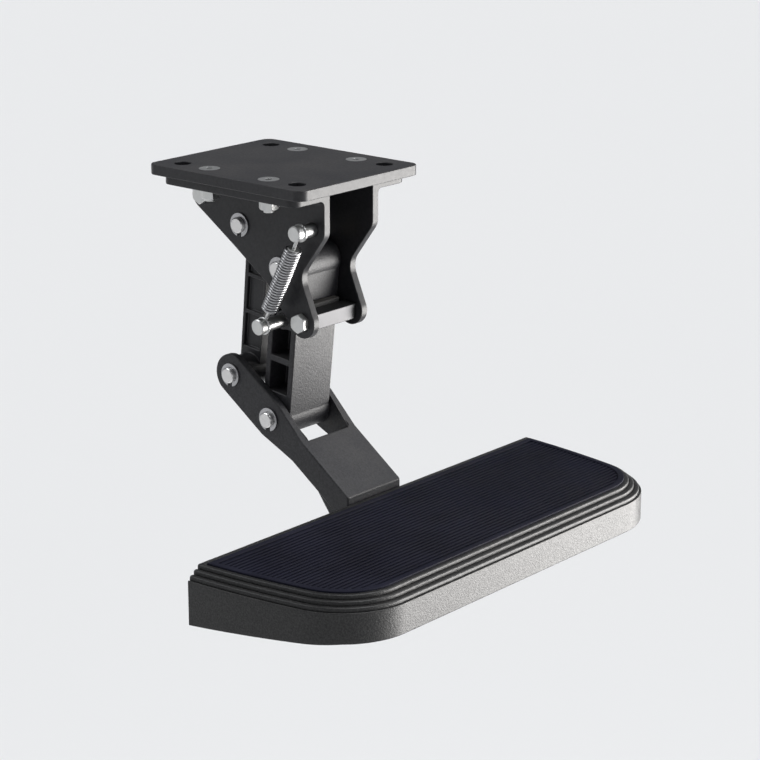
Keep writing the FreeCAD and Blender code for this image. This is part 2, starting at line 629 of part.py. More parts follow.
def stop_screws(centres):
    screws = []
    for centre in centres:
        for side in (-1, 1):
            x = sorted((side * (CHEEK_OUT + 1), side * (HALF_GAP - STOP_SCREW_SEAT)))
            shank = rod(M8_R, x[0], x[1], centre)
            head = hex_head(M8_NUT_AF, M8_HEAD_H, V(side * CHEEK_OUT, centre[0], centre[1]), V(side, 0, 0))
            screws.append(fuse([shank, head]))
    return Part.makeCompound(screws)


def stop_pad(bar_centre, degrees, toward, half_w):
    """Rubber block bonded to the side of a stop bar that faces the link."""
    centre = polar(bar_centre, toward, STOP_BAR / 2 + STOP_PAD_T / 2)
    return turned_box(centre, degrees, STOP_PAD_L, STOP_PAD_T, -half_w, half_w)


# ---------------------------------------------------------------- fasteners


def flat_screws(points, top, grip):
    """Countersunk M8 screws, hexagon sockets up, heads flush with a face at z = top."""
    end = top - grip - M8_NUT_H - M8_THREAD_END
    screws = []
    for x, y in points:
        socket = hexagon(M8_SOCKET_AF, M8_SOCKET_H, V(x, y, top), V(0, 0, -1))
        screws.append(fuse([post(M8_R, x, y, end, top), countersink(x, y, top)]).cut(socket))
    return Part.makeCompound(screws)


def flange_nuts(points, face):
    """M8 flange nuts under a face at z = face."""
    nuts = []
    for x, y in points:
        washer = post(M8_FLANGE_R, x, y, face - M8_FLANGE_T, face)
        body = hex_head(M8_NUT_AF, M8_NUT_H, V(x, y, face), V(0, 0, -1))
        bore = post(M8_R + FIT_CLEAR, x, y, face - M8_NUT_H - 1, face + 1)
        nuts.append(fuse([washer, body]).cut(bore))
    return Part.makeCompound(nuts)


# ---------------------------------------------------------------- spring


def spring_post(centre, seat_x):
    """Post along -X with a waist for the spring's eye."""
    tip = SPRING_X - POST_TIP
    waist = (SPRING_X - POST_NECK_W / 2, SPRING_X + POST_NECK_W / 2)
    body = fuse([rod(POST_R, waist[1], seat_x, centre), rod(POST_NECK_R, waist[0], waist[1], centre),
                 rod(POST_HEAD_R, tip, waist[0], centre)])
    return chamfer_ends(body, (tip,), END_CHAMFER)


def spring_line():
    """Length and direction from the bracket post to the arm post."""
    dy, dz = SPRING_LOW[0] - SPRING_TOP[0], SPRING_LOW[1] - SPRING_TOP[1]
    return math.hypot(dy, dz), math.degrees(math.atan2(dz, dy))


def along_spring(shape):
    """Put a shape drawn along +Z from the origin onto the line from the bracket post."""
    length, degrees = spring_line()
    shape.rotate(V(0, 0, 0), X_AXIS, degrees - 90)
    shape.translate(V(SPRING_X, SPRING_TOP[0], SPRING_TOP[1]))
    return shape


def spring_coil():
    height = COIL_PITCH * COIL_TURNS
    path = Part.makeHelix(COIL_PITCH, height, COIL_R)
    section = Part.Wire(Part.makeCircle(WIRE_R, V(COIL_R, 0, 0), V(0, COIL_R * 2 * math.pi, COIL_PITCH)))
    coil = Part.Wire(path).makePipeShell([section], True, True)
    coil.translate(V(0, 0, (spring_line()[0] - height) / 2))
    return along_spring(coil)


def spring_eye(at_arm):
    """Eye rod: a ring round the post, a stem and a plug the end coils grip."""
    ring_r = POST_NECK_R + EYE_CLEAR + EYE_WIRE_R
    start = (spring_line()[0] - COIL_PITCH * COIL_TURNS) / 2
    ring = Part.makeTorus(ring_r, EYE_WIRE_R, V(0, 0, 0), X_AXIS)
    stem = post(EYE_WIRE_R, 0, 0, ring_r, start + EYE_PLUG_L)
    plug = post(COIL_R - WIRE_R - FIT_CLEAR, 0, 0, start - WIRE_R, start + EYE_PLUG_L)
    eye = fuse([ring, stem, plug])
    if at_arm:
        eye.rotate(V(0, 0, 0), X_AXIS, 180)
        eye.translate(V(0, 0, spring_line()[0]))
    return along_spring(eye)


# ---------------------------------------------------------------- assembly


def build():
    lower = (MAIN_LOW, IDLER_LOW)
    upper = (MAIN_TOP, IDLER_TOP)
    foot = foot_screws_at()
    plate = bolt_points(2 * PLATE_SCREW_Y)
    return {
        "step_deck": step_deck(),
        "tread_mat": tread_mat(),
        "carrier_arm": carrier_arm(),
        "carrier_screws": flat_screws(foot, MAT_FLOOR, DECK_TOP_T + FOOT_T),
        "carrier_nuts": flange_nuts(foot, FOOT_LOW),
        "main_lower_pin": pivot_pin(MAIN_LOW),
        "idler_lower_pin": pivot_pin(IDLER_LOW),
        "lower_pin_clips": pin_clips(lower),
        "main_arm": main_arm(),
        "main_upper_bushes": bushes(MAIN_TOP),
        "main_lower_bushes": bushes(MAIN_LOW),
        "main_grease_nipples": grease_nipples(MAIN_TOP, MAIN_BOSS_R),
        "arm_spring_post": spring_post(SPRING_LOW, -ARM_HALF_W + POST_SEAT),
        "idler_arm": idler_arm(),
        "idler_upper_bushes": bushes(IDLER_TOP),
        "idler_lower_bushes": bushes(IDLER_LOW),
        "idler_grease_nipples": grease_nipples(IDLER_TOP, IDLER_BOSS_R),
        "mount_plate": mount_plate(),
        "left_cheek": cheek(-1),
        "right_cheek": cheek(1),
        "plate_screws": flat_screws(plate, 0, PLATE_T + CHEEK_T),
        "plate_nuts": flange_nuts(plate, FLANGE_LOW),
        "main_upper_pin": pivot_pin(MAIN_TOP),
        "idler_upper_pin": pivot_pin(IDLER_TOP),
        "upper_pin_clips": pin_clips(upper),
        "deployed_stop_bar": stop_bar(REST_STOP, HANG),
        "deployed_stop_pad": stop_pad(REST_STOP, HANG, HANG + 90, HALF_GAP - PAD_SIDE),
        "stowed_stop_bar": stop_bar(STOW_STOP, STOWED),
        "stowed_stop_pad": stop_pad(STOW_STOP, STOWED, STOWED - 90, IDLER_BEAM_W / 2),
        "stop_bar_screws": stop_screws((REST_STOP, STOW_STOP)),
        "bracket_spring_post": spring_post(SPRING_TOP, -HALF_GAP),
        "spring_coil": spring_coil(),
        "spring_bracket_eye": spring_eye(False),
        "spring_arm_eye": spring_eye(True),
    }


os.makedirs("parts", exist_ok=True)
for name, shape in build().items():
    shape.exportStep("parts/" + name + ".step")
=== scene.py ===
import json
import math
import bmesh
import bpy
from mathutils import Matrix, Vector

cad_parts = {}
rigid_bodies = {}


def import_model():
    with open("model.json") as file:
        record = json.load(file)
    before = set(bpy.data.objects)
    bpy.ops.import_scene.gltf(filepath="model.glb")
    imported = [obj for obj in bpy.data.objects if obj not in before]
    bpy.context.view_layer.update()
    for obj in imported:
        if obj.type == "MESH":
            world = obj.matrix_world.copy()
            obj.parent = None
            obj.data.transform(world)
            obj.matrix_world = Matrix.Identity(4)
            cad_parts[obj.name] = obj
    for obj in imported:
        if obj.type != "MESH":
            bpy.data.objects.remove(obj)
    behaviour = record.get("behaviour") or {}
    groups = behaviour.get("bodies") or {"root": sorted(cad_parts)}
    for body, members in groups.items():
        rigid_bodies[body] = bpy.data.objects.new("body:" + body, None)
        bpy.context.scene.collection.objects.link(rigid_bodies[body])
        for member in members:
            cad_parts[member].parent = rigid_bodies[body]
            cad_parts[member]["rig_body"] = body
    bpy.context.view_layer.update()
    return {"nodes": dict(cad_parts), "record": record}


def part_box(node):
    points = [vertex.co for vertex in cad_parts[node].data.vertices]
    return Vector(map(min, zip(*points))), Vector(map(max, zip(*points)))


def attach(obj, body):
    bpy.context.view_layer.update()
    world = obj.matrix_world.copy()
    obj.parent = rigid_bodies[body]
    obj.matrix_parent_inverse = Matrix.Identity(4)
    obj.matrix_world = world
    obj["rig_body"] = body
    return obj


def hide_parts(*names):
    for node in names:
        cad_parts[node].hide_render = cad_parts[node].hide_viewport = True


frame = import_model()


# ---- Cast deck -------------------------------------------------------------
# One aluminium sand casting: a plain front face under a rim of three stepped ridges, bowed ends,
# a skirt that deepens toward the vehicle and a ribbed underside. Finished in a dark satin coat.

deck_low, deck_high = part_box("step_deck")
deck_front, deck_back = deck_low.y, deck_high.y
rim_top = deck_high.z
rim_height = 0.0093          # three ridges, each 3.1 mm above the last
face_height = 0.0226
skirt_edge = rim_top - rim_height - face_height
skirt_level_depth = 0.020    # the skirt is level for this far behind the front face
skirt_wall = 0.007
same_level = 0.00001         # heights this close are one level
end_radius = 0.660           # bowed ends
end_heading = math.radians(3.1)
corner_radius = 0.057
end_centre = Vector((deck_high.x - end_radius * math.cos(end_heading),
                     deck_back + end_radius * math.sin(end_heading)))
corner_y = deck_front + corner_radius
corner_x = end_centre.x + math.sqrt((end_radius - corner_radius) ** 2 - (end_centre.y - corner_y) ** 2)


def draw_outline(name, inset, back, level):
    """The deck's plan shape as one face: half is drawn and spun from the middle of the front, then mirrored."""
    bpy.ops.object.select_all(action="DESELECT")
    bpy.ops.mesh.primitive_plane_add(size=0.01, enter_editmode=True)
    piece = bpy.context.object
    piece.name = piece.data.name = name
    bpy.ops.mesh.select_mode(type="VERT")
    bpy.ops.mesh.merge(type="CENTER")
    bpy.ops.transform.translate(value=(0, deck_front + inset, level))
    bpy.ops.mesh.extrude_region_move(TRANSFORM_OT_translate={"value": (corner_x, 0, 0)})
    lean = math.atan2(corner_y - end_centre.y, corner_x - end_centre.x)
    bpy.ops.mesh.spin(steps=28, angle=lean + math.pi / 2, center=(corner_x, corner_y, level), axis=(0, 0, -1))
    stop = math.asin((back - end_centre.y) / (end_radius - inset))
    bpy.ops.mesh.spin(steps=14, angle=stop - lean, center=(*end_centre, level), axis=(0, 0, -1))
    reach = end_centre.x + (end_radius - inset) * math.cos(stop)
    bpy.ops.mesh.extrude_region_move(TRANSFORM_OT_translate={"value": (-reach, 0, 0)})
    bpy.ops.object.mode_set(mode="OBJECT")
    bpy.ops.object.modifier_add(type="MIRROR")
    bpy.ops.object.modifier_apply(modifier="Mirror")
    bpy.ops.object.mode_set(mode="EDIT")
    bpy.ops.mesh.select_all(action="SELECT")
    bpy.ops.mesh.remove_doubles(threshold=0.00002)
    bpy.ops.mesh.edge_face_add()
    if bmesh.from_edit_mesh(piece.data).faces[:][0].normal.z < 0:
        bpy.ops.mesh.flip_normals()
    return piece


def raise_face(height):
    bpy.ops.mesh.extrude_region_move(TRANSFORM_OT_translate={"value": (0, 0, height)})


def step_in(profile):
    """Insets the selected face again and again: each pair is a width and a rise, in millimetres."""
    for width, rise in profile:
        bpy.ops.mesh.inset(thickness=width / 1000, depth=rise / 1000)


def pick_faces(piece, wanted):
    bpy.ops.mesh.select_mode(type="FACE")
    bpy.ops.mesh.select_all(action="DESELECT")
    mesh = bmesh.from_edit_mesh(piece.data)
    for face in mesh.faces:
        if wanted(face.calc_center_median(), face.normal):
            face.select_set(True)
    bmesh.update_edit_mesh(piece.data)


def pick_edges(piece, wanted):
    bpy.ops.mesh.select_mode(type="EDGE")
    bpy.ops.mesh.select_all(action="DESELECT")
    mesh = bmesh.from_edit_mesh(piece.data)
    for edge in mesh.edges:
        if len(edge.link_faces) == 2 and wanted(edge, *edge.link_faces):
            edge.select_set(True)
    bmesh.update_edit_mesh(piece.data)


def cut_with(piece, tool, operation):
    """Boolean with a tool piece, which is used up."""
    bpy.ops.object.select_all(action="DESELECT")
    bpy.context.view_layer.objects.active = piece
    piece.select_set(True)
    boolean = piece.modifiers.new("Cut", "BOOLEAN")
    boolean.operation = operation
    boolean.object = tool
    bpy.ops.object.modifier_apply(modifier=boolean.name)
    bpy.data.objects.remove(tool)


# The outline runs past the back face, which is cut square once the rim is up.
past_back = 0.020
first_ledge = [(1.0, 0)]
groove = [(0.10, -0.9), (0.70, 0)]
riser = [(0.10, 2.8)]
crown = [(0.22, 0.58), (0.42, 0.38), (0.60, 0.20), (0.66, 0.04), (1.20, 0)]
deck = draw_outline("cast_deck", 0, deck_back + past_back, skirt_edge)
raise_face(face_height)
step_in(first_ledge)
for ridge in range(3):
    step_in(groove + riser + crown)
slope_start = deck_front + skirt_level_depth
bpy.ops.mesh.select_all(action="SELECT")
bpy.ops.mesh.bisect(plane_co=(0, slope_start, 0), plane_no=(0, 1, 0))
mesh = bmesh.from_edit_mesh(deck.data)
for vertex in mesh.verts:
    if abs(vertex.co.z - skirt_edge) < same_level and vertex.co.y > slope_start:
        vertex.co.z -= (skirt_edge - deck_low.z) * (vertex.co.y - slope_start) / (deck_back - slope_start)
bmesh.update_edit_mesh(deck.data)
skirt_round, face_round = 0.0009, 0.0006
pick_edges(deck, lambda edge, a, b: min(a.normal.z, b.normal.z) < -0.9
           and abs(a.normal.z - b.normal.z) > 0.8)
bpy.ops.mesh.bevel(offset=skirt_round, segments=3, affect="EDGES")
face_top = skirt_edge + face_height
pick_edges(deck, lambda edge, a, b: all(abs(v.co.z - face_top) < same_level for v in edge.verts)
           and min(a.calc_center_median().z, b.calc_center_median().z) < face_top - 0.005)
bpy.ops.mesh.bevel(offset=face_round, segments=3, affect="EDGES")
bpy.ops.mesh.select_all(action="SELECT")
bpy.ops.mesh.bisect(plane_co=(0, deck_back, 0), plane_no=(0, 1, 0), use_fill=True, clear_outer=True)

# The mat's recess stops short of the back edge.
back_strip = 0.005
recess_depth = 0.0026


def on_deck_top(centre, normal):
    return normal.z > 0.9 and centre.z > rim_top - 0.0001


pick_faces(deck, on_deck_top)
bpy.ops.mesh.bisect(plane_co=(0, deck_back - back_strip, 0), plane_no=(0, 1, 0))
pick_faces(deck, lambda centre, normal: on_deck_top(centre, normal)
           and abs(centre.x) < 0.01 and centre.y < deck_back - 2 * back_strip)
raise_face(-recess_depth)
bpy.ops.object.mode_set(mode="OBJECT")

# Underside: cells between ribs, cut to the skirt's inner outline, and an open bay for the carrier's foot.
top_plate = 0.005
plate_under = rim_top - recess_depth - top_plate
bay_half, bay_length = 0.0305, 0.096
rib = 0.004
columns, rows = 5, 4
column_pitch = (deck_high.x - skirt_wall - bay_half) / columns
row_pitch = (deck_back - deck_front - 2 * skirt_wall) / rows
pocket_fillet = 0.0025
outer_overrun = 0.004        # the outer cells run into the skirt, and the outline trims them
pocket_floor = deck_low.z - 0.015
bpy.ops.object.select_all(action="DESELECT")
bpy.ops.mesh.primitive_cube_add(size=1, enter_editmode=True)
cells = bpy.context.object
bpy.ops.mesh.delete(type="VERT")


def add_box(x0, x1, y0, y1):
    """One box as tall as the pockets, added to the mesh that is open."""
    middle = ((x0 + x1) / 2, (y0 + y1) / 2, (pocket_floor + plate_under) / 2)
    bpy.ops.mesh.primitive_cube_add(size=1, location=middle, scale=(x1 - x0, y1 - y0, plate_under - pocket_floor))


for row in range(rows):
    y0 = deck_front + skirt_wall + row * row_pitch + (rib / 2 if row else -outer_overrun)
    y1 = deck_front + skirt_wall + (row + 1) * row_pitch - (rib / 2 if row < rows - 1 else -outer_overrun)
    spans = [(-bay_half, bay_half)] if row == 0 else []
    for column in range(columns):
        x0 = bay_half + rib + column * column_pitch
        x1 = x0 + column_pitch - rib if column < columns - 1 else deck_high.x + 0.01
        spans += [(x0, x1), (-x1, -x0)]
    for x0, x1 in spans:
        add_box(x0, x1, y0, y1)
pick_edges(cells, lambda edge, a, b: max(v.co.z for v in edge.verts) > plate_under - 0.001)
bpy.ops.mesh.bevel(offset=pocket_fillet, segments=3, affect="EDGES")
bpy.ops.object.mode_set(mode="OBJECT")
pockets = draw_outline("pockets", skirt_wall, deck_back - skirt_wall, pocket_floor - 0.001)
raise_face(plate_under - pocket_floor + 0.003)
bpy.ops.object.mode_set(mode="OBJECT")
cut_with(pockets, cells, "INTERSECT")
bpy.ops.object.mode_set(mode="EDIT")
add_box(-bay_half, bay_half, deck_back - bay_length, deck_back + 0.010)
pick_edges(pockets, lambda edge, a, b: max(v.co.z for v in edge.verts) > plate_under - 0.001
           and min(v.co.y for v in edge.verts) > deck_back - bay_length - 0.001
           and max(abs(v.co.x) for v in edge.verts) < bay_half + 0.001)
bpy.ops.mesh.bevel(offset=pocket_fillet, segments=3, affect="EDGES")
bpy.ops.object.mode_set(mode="OBJECT")
cut_with(deck, pockets, "DIFFERENCE")


def finish_piece(piece, body, slot, *nodes):
    """Smooth shading with flat faces kept flat, then the piece takes its place in the frame."""
    bpy.ops.object.select_all(action="DESELECT")
    bpy.context.view_layer.objects.active = piece
    piece.select_set(True)
    bpy.ops.object.shade_smooth_by_angle(angle=math.radians(32))
    weighted = piece.modifiers.new("Flat faces", "WEIGHTED_NORMAL")
    weighted.keep_sharp = True
    bpy.ops.object.modifier_apply(modifier=weighted.name)
    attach(piece, body)
    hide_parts(*nodes)


finish_piece(deck, "step", "deck_casting", "step_deck")


def add_node(tree, kind, place, values=(), **settings):
    """A shader node at a place in its tree, with its settings and the constants of its sockets."""
    node = tree.nodes.new(kind)
    node.location = place
    for name, value in settings.items():
        setattr(node, name, value)
    for socket, value in dict(values).items():
        node.inputs[socket].default_value = value
    return node


def make_group(name, inputs, outputs):
    group = bpy.data.node_groups.new(name, "ShaderNodeTree")
    for socket, kind, value in inputs:
        group.interface.new_socket(socket, in_out="INPUT", socket_type=kind).default_value = value
    for socket, kind in outputs:
        group.interface.new_socket(socket, in_out="OUTPUT", socket_type=kind)
    return group, add_node(group, "NodeGroupInput", (-900, 0)), add_node(group, "NodeGroupOutput", (700, 0))


# Fine grain: two sizes of noise on the piece, as a value for colour and a height for bump.
grain_group, grain_in, grain_out = make_group(
    "fine_grain", [("Scale", "NodeSocketFloat", 1500.0), ("Coarse Scale", "NodeSocketFloat", 60.0)],
    [("Fine", "NodeSocketFloat"), ("Coarse", "NodeSocketFloat")])
grain_place = add_node(grain_group, "ShaderNodeTexCoord", (-900, -200))
fine_noise = add_node(grain_group, "ShaderNodeTexNoise", (-300, 100), {"Detail": 3.0, "Roughness": 0.6})
coarse_noise = add_node(grain_group, "ShaderNodeTexNoise", (-300, -200), {"Detail": 5.0, "Roughness": 0.55})
for noise, scale, outlet in ((fine_noise, "Scale", "Fine"), (coarse_noise, "Coarse Scale", "Coarse")):
    grain_group.links.new(grain_place.outputs["Object"], noise.inputs["Vector"])
    grain_group.links.new(grain_in.outputs[scale], noise.inputs["Scale"])
    grain_group.links.new(noise.outputs["Fac"], grain_out.inputs[outlet])

# Edge wear: where the surface turns sharply, broken up by noise.
wear_group, wear_in, wear_out = make_group(
    "edge_wear", [("Radius", "NodeSocketFloat", 0.001), ("Amount", "NodeSocketFloat", 0.5)],
    [("Mask", "NodeSocketFloat")])
rounded = add_node(wear_group, "ShaderNodeBevel", (-700, 200), samples=4)
true_normal = add_node(wear_group, "ShaderNodeNewGeometry", (-700, 0))
facing = add_node(wear_group, "ShaderNodeVectorMath", (-500, 100), operation="DOT_PRODUCT")
turned = add_node(wear_group, "ShaderNodeMapRange", (-300, 100), {"From Min": 0.985, "From Max": 0.86})
wear_place = add_node(wear_group, "ShaderNodeTexCoord", (-900, -300))
wear_noise = add_node(wear_group, "ShaderNodeTexNoise", (-500, -300),
                      {"Scale": 140.0, "Detail": 6.0, "Roughness": 0.7})
patchy = add_node(wear_group, "ShaderNodeMapRange", (-300, -300), {"From Min": 0.42, "From Max": 0.68})
worn = add_node(wear_group, "ShaderNodeMath", (0, 0), operation="MULTIPLY")
scaled = add_node(wear_group, "ShaderNodeMath", (200, 0), operation="MULTIPLY", use_clamp=True)
wear_group.links.new(wear_in.outputs["Radius"], rounded.inputs["Radius"])
wear_group.links.new(rounded.outputs["Normal"], facing.inputs[0])
wear_group.links.new(true_normal.outputs["Normal"], facing.inputs[1])
wear_group.links.new(facing.outputs["Value"], turned.inputs["Value"])
wear_group.links.new(wear_place.outputs["Object"], wear_noise.inputs["Vector"])
wear_group.links.new(wear_noise.outputs["Fac"], patchy.inputs["Value"])
wear_group.links.new(turned.outputs["Result"], worn.inputs[0])
wear_group.links.new(patchy.outputs["Result"], worn.inputs[1])
wear_group.links.new(worn.outputs["Value"], scaled.inputs[0])
wear_group.links.new(wear_in.outputs["Amount"], scaled.inputs[1])
wear_group.links.new(scaled.outputs["Value"], wear_out.inputs["Mask"])

# Road dust: a thin film that settles on faces that look up.
dust_group, dust_in, dust_out = make_group(
    "road_dust", [("Amount", "NodeSocketFloat", 0.3), ("Scale", "NodeSocketFloat", 18.0)],
    [("Mask", "NodeSocketFloat")])
dust_normal = add_node(dust_group, "ShaderNodeNewGeometry", (-700, 200))
upward = add_node(dust_group, "ShaderNodeSeparateXYZ", (-500, 200))
looks_up = add_node(dust_group, "ShaderNodeMapRange", (-300, 200), {"From Min": 0.2, "From Max": 1.0})
dust_place = add_node(dust_group, "ShaderNodeTexCoord", (-700, -200))
dust_noise = add_node(dust_group, "ShaderNodeTexNoise", (-500, -200), {"Detail": 6.0, "Roughness": 0.65})
clumps = add_node(dust_group, "ShaderNodeMapRange", (-300, -200), {"From Min": 0.38, "From Max": 0.72})
settled = add_node(dust_group, "ShaderNodeMath", (0, 0), operation="MULTIPLY")
thinned = add_node(dust_group, "ShaderNodeMath", (200, 0), operation="MULTIPLY", use_clamp=True)
dust_group.links.new(dust_normal.outputs["Normal"], upward.inputs["Vector"])
dust_group.links.new(upward.outputs["Z"], looks_up.inputs["Value"])
dust_group.links.new(dust_place.outputs["Object"], dust_noise.inputs["Vector"])
dust_group.links.new(dust_in.outputs["Scale"], dust_noise.inputs["Scale"])
dust_group.links.new(dust_noise.outputs["Fac"], clumps.inputs["Value"])
dust_group.links.new(looks_up.outputs["Result"], settled.inputs[0])
dust_group.links.new(clumps.outputs["Result"], settled.inputs[1])
dust_group.links.new(settled.outputs["Value"], thinned.inputs[0])
dust_group.links.new(dust_in.outputs["Amount"], thinned.inputs[1])
dust_group.links.new(thinned.outputs["Value"], dust_out.inputs["Mask"])


def blank_material(name):
    """A material with only its Principled shader and output; returns it with its tree and shader."""
    material = bpy.data.materials.new(name)
    material.use_nodes = True
    tree = material.node_tree
    tree.nodes.clear()
    output = add_node(tree, "ShaderNodeOutputMaterial", (600, 0))
    shader = add_node(tree, "ShaderNodeBsdfPrincipled", (300, 0))
    tree.links.new(shader.outputs["BSDF"], output.inputs["Surface"])
    return material, tree, shader


def add_group(tree, group, place, values):
    node = add_node(tree, "ShaderNodeGroup", place, node_tree=group)
    for socket, value in values.items():
        node.inputs[socket].default_value = value
    return node


def coated_metal(name, dark, light, bare, roughness, grain, bump, wear, dust, shine=0.5, metal=0.0):
    """A paint or powder coat over metal: grained colour, bare edges and a little dust."""
    material, tree, shader = blank_material(name)
    shader.inputs["Specular IOR Level"].default_value = shine
    pattern = add_group(tree, grain_group, (-900, 200), {"Scale": grain, "Coarse Scale": 420.0})
    edges = add_group(tree, wear_group, (-900, -100), {"Radius": 0.0008, "Amount": wear})
    film = add_group(tree, dust_group, (-900, -350), {"Amount": dust, "Scale": 22.0})
    spread = add_node(tree, "ShaderNodeMapRange", (-650, 200), {"From Min": 0.35, "From Max": 0.65})
    coat = add_node(tree, "ShaderNodeMix", (-400, 200), data_type="RGBA")
    coat.inputs["A"].default_value = (*dark, 1)
    coat.inputs["B"].default_value = (*light, 1)
    rubbed = add_node(tree, "ShaderNodeMix", (-200, 150), data_type="RGBA")
    rubbed.inputs["B"].default_value = (*bare, 1)
    dusty = add_node(tree, "ShaderNodeMix", (0, 100), data_type="RGBA")
    dusty.inputs["B"].default_value = (0.23, 0.21, 0.185, 1)
    rough = add_node(tree, "ShaderNodeMapRange", (-200, -150),
                     {"From Min": 0.3, "From Max": 0.7, "To Min": roughness - 0.03, "To Max": roughness + 0.05})
    metal_share = add_node(tree, "ShaderNodeMapRange", (-200, -400), {"To Min": metal, "To Max": 1.0})
    lumps = add_node(tree, "ShaderNodeBump", (0, -300), {"Strength": bump, "Distance": 0.0003})
    link = tree.links.new
    link(pattern.outputs["Fine"], spread.inputs["Value"])
    link(spread.outputs["Result"], coat.inputs["Factor"])
    link(coat.outputs["Result"], rubbed.inputs["A"])
    link(edges.outputs["Mask"], rubbed.inputs["Factor"])
    link(rubbed.outputs["Result"], dusty.inputs["A"])
    link(film.outputs["Mask"], dusty.inputs["Factor"])
    link(dusty.outputs["Result"], shader.inputs["Base Color"])
    link(pattern.outputs["Coarse"], rough.inputs["Value"])
    link(rough.outputs["Result"], shader.inputs["Roughness"])
    link(edges.outputs["Mask"], metal_share.inputs["Value"])
    link(metal_share.outputs["Result"], shader.inputs["Metallic"])
    link(pattern.outputs["Fine"], lumps.inputs["Height"])
    link(lumps.outputs["Normal"], shader.inputs["Normal"])
    return material


def paint(piece, material):
    piece.data.materials.clear()
    piece.data.materials.append(material)


deck_coat = coated_metal("satin_deck_coat", (0.007, 0.007, 0.0075), (0.024, 0.024, 0.024), (0.30, 0.29, 0.28),
                         roughness=0.40, grain=760.0, bump=0.85, wear=0.30, dust=0.03, shine=0.36, metal=0.12)
paint(deck, deck_coat)


# ---- Tread mat ---------------------------------------------------------------
# Moulded rubber, pressed into the deck's recess over the four fixing screws: a raised bead all round
# and fine ribs along its length for grip. Blue-black, matt, with dust between the ribs.

mat_floor = rim_top - recess_depth
mat_clearance = 0.0004       # all round in the recess
mat_edge = 0.0130 + mat_clearance    # the deck's outline to the mat, past the three ridges
mat_back = deck_back - back_strip - mat_clearance
bead_width = 0.005
bead_side = 0.0034           # straight outer side of the bead, below its rounding
bead = [(0.18, 0.34), (0.45, 0.22), (0.75, 0.04), (2.24, 0), (0.75, -0.04), (0.45, -0.36), (0.18, -1.0)]
mat = draw_outline("ribbed_tread_mat", mat_edge, mat_back, mat_floor)
raise_face(bead_side)
step_in(bead)
field_level = mat_floor + bead_side + sum(rise for width, rise in bead) / 1000
rib_pitch, rib_width = 0.004, 0.0022
first_rib = deck_front + mat_edge + bead_width + rib_pitch / 2
rib_rows = int((mat_back - bead_width - first_rib) / rib_pitch)


def in_mat_field(centre, normal):
    return normal.z > 0.99 and abs(centre.z - field_level) < 0.00005


for row in range(rib_rows):
    for edge_y in (first_rib + row * rib_pitch, first_rib + row * rib_pitch + rib_width):
        pick_faces(mat, in_mat_field)
        bpy.ops.mesh.bisect(plane_co=(0, edge_y, 0), plane_no=(0, 1, 0))
pick_faces(mat, lambda centre, normal: in_mat_field(centre, normal)
           and first_rib < centre.y < first_rib + rib_rows * rib_pitch
           and (centre.y - first_rib) % rib_pitch < rib_width)
bpy.ops.mesh.inset(thickness=0.0002, depth=0.0008, use_even_offset=False)
bpy.ops.mesh.inset(thickness=0.0003, depth=0.0002, use_even_offset=False)
bpy.ops.object.mode_set(mode="OBJECT")
finish_piece(mat, "step", "mat_rubber", "tread_mat")

rubber, rubber_tree, rubber_shader = blank_material("ribbed_mat_rubber")
rubber_shader.inputs["Specular IOR Level"].default_value = 0.12
rubber_grain = add_group(rubber_tree, grain_group, (-900, 200), {"Scale": 2200.0, "Coarse Scale": 26.0})
rubber_dust = add_group(rubber_tree, dust_group, (-900, -200), {"Amount": 0.05, "Scale": 14.0})
rubber_spread = add_node(rubber_tree, "ShaderNodeMapRange", (-650, 200), {"From Min": 0.35, "From Max": 0.65})
rubber_colour = add_node(rubber_tree, "ShaderNodeMix", (-400, 200), data_type="RGBA")
rubber_colour.inputs["A"].default_value = (0.0042, 0.0044, 0.0105, 1)
rubber_colour.inputs["B"].default_value = (0.0080, 0.0084, 0.0180, 1)
rubber_dusty = add_node(rubber_tree, "ShaderNodeMix", (-100, 150), data_type="RGBA")
rubber_dusty.inputs["B"].default_value = (0.13, 0.125, 0.12, 1)
rubber_rough = add_node(rubber_tree, "ShaderNodeMapRange", (-100, -150),
                        {"From Min": 0.3, "From Max": 0.7, "To Min": 0.52, "To Max": 0.72})
rubber_lumps = add_node(rubber_tree, "ShaderNodeBump", (0, -300), {"Strength": 0.3, "Distance": 0.0002})
link = rubber_tree.links.new
link(rubber_grain.outputs["Coarse"], rubber_spread.inputs["Value"])
link(rubber_spread.outputs["Result"], rubber_colour.inputs["Factor"])
link(rubber_colour.outputs["Result"], rubber_dusty.inputs["A"])
link(rubber_dust.outputs["Mask"], rubber_dusty.inputs["Factor"])
link(rubber_dusty.outputs["Result"], rubber_shader.inputs["Base Color"])
link(rubber_grain.outputs["Coarse"], rubber_rough.inputs["Value"])
link(rubber_rough.outputs["Result"], rubber_shader.inputs["Roughness"])
link(rubber_grain.outputs["Fine"], rubber_lumps.inputs["Height"])
link(rubber_lumps.outputs["Normal"], rubber_shader.inputs["Normal"])
paint(mat, rubber)


# ---- Carrier arm, links and bracket -------------------------------------------
# The carrier arm and main arm are iron castings, the idler a forging, the cheeks and plate pressed
# and sawn steel. All have broken edges and a semi-matt black paint with the metal's grain under it.

slot_of = {entry["node"]: entry["material_slot"] for entry in frame["record"]["subparts"]}


